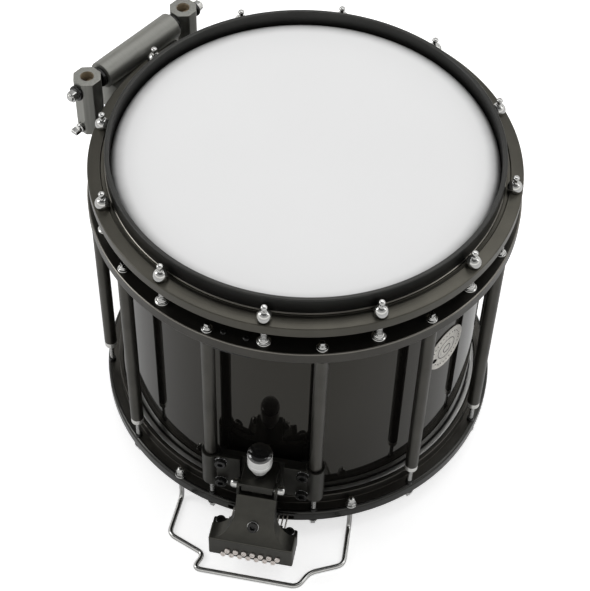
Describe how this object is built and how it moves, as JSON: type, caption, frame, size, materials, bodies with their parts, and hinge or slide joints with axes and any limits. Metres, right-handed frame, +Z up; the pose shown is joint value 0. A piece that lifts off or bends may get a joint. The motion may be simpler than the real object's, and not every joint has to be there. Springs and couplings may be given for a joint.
{
  "type": "marching snare drum",
  "caption": "Free-floating marching snare drum: metal batter hoop over a ring on upright tubes, screw-and-lever snare strainer, bent wire guards and carrier receivers.",
  "frame": {"origin": "centre of the batter head's playing face", "axes": "+Z up out of the batter head; the strainer side faces -Y; +X to the right as seen from the strainer"},
  "size_m": [0.4394, 0.5148, 0.3524],
  "materials": {
    "shell": "deep gloss black lacquer on a ply shell",
    "head_film": "white coated film, satin",
    "flesh_hoop": "plain extrusion, hidden in the hoop",
    "dark_hoop": "warm dark grey anodised satin, bright at its edges",
    "dark_tube": "dark anodised tube with a plated foot",
    "chrome": "bright plated steel",
    "guard_chrome": "bright plated bent rod",
    "receiver_chrome": "bright plated fasteners",
    "black_hardware": "black oxide steel",
    "strainer_dark": "warm dark grey anodised satin",
    "push_pad": "turned steel",
    "receiver_metal": "brushed mid grey",
    "receiver_dark": "grey satin casting",
    "badge": "plain satin disc with a raised rim",
    "strands": "coated wire cords"
  },
  "bodies": {
    "drum": {"shell": "shell", "top_head": "head_film", "bottom_head": "head_film", "top_flesh_hoop": "flesh_hoop", "bottom_flesh_hoop": "flesh_hoop", "top_hoop": "dark_hoop", "tension_ring": "dark_hoop", "bottom_hoop": "dark_hoop", "tension_rod_01": "chrome", "tension_rod_02": "chrome", "tension_rod_03": "chrome", "tension_rod_04": "chrome", "tension_rod_05": "chrome", "tension_rod_06": "chrome", "tension_rod_07": "chrome", "tension_rod_08": "chrome", "tension_rod_09": "chrome", "tension_rod_10": "chrome", "tension_rod_11": "chrome", "tension_rod_12": "chrome", "tube_01": "dark_tube", "tube_02": "dark_tube", "tube_03": "dark_tube", "tube_04": "dark_tube", "tube_05": "dark_tube", "tube_06": "dark_tube", "tube_07": "dark_tube", "tube_08": "dark_tube", "tube_09": "dark_tube", "tube_10": "dark_tube", "tube_11": "dark_tube", "tube_12": "dark_tube", "ring_stay": "black_hardware", "badge": "badge", "strainer_bridge": "strainer_dark", "strainer_clamp_left": "strainer_dark", "strainer_clamp_right": "strainer_dark", "clamp_bolts_left": "black_hardware", "clamp_bolts_right": "black_hardware", "strainer_frame": "strainer_dark", "pivot_pin": "chrome", "snare_strands": "strands", "butt_bracket": "strainer_dark", "guard_front": "guard_chrome", "guard_rear": "guard_chrome", "receiver_bracket": "receiver_dark", "receiver_tube": "receiver_metal", "receiver_bolt_front": "receiver_chrome", "receiver_bolt_rear": "receiver_chrome"},
    "pusher": {"push_pad": "push_pad"},
    "knob": {"tension_knob": "chrome"},
    "gate": {"gate_arm": "strainer_dark", "strand_block": "strainer_dark", "gate_lock_screw": "black_hardware", "strand_screws": "chrome"},
    "receiver_front": {"receiver_post_front": "receiver_metal", "clamp_screw_front": "receiver_chrome"},
    "receiver_rear": {"receiver_post_rear": "receiver_metal", "clamp_screw_rear": "receiver_chrome"}
  },
  "joints": [
    {"name": "knob_turn", "type": "hinge", "parent": "drum", "child": "knob", "pos_m": [0, -0.20504, -0.2], "axis": [0, 0, 1], "range_deg": [-360, 360]},
    {"name": "pusher_slide", "type": "slide", "parent": "drum", "child": "pusher", "axis": [0, 0, 1], "range_m": [-0.00076, 0.00076]},
    {"name": "gate_swing", "type": "hinge", "parent": "drum", "child": "gate", "pos_m": [0, -0.21404, -0.2345], "axis": [1, 0, 0], "range_deg": [-4.8, 4.8], "deforming": ["snare_strands"]},
    {"name": "receiver_front_tilt", "type": "hinge", "parent": "drum", "child": "receiver_front", "pos_m": [-0.22049, 0.05109, -0.006], "axis": [0.5, 0.866, 0], "range_deg": [-6, 35]},
    {"name": "receiver_rear_tilt", "type": "hinge", "parent": "drum", "child": "receiver_rear", "pos_m": [-0.15449, 0.16541, -0.006], "axis": [0.5, 0.866, 0], "range_deg": [-6, 35]}
  ],
  "couplings": [
    {"joint": "pusher_slide", "follows": "knob_turn", "m_per_rad": 0.00011937},
    {"joint": "gate_swing", "follows": "knob_turn", "ratio": 0.013263}
  ]
}
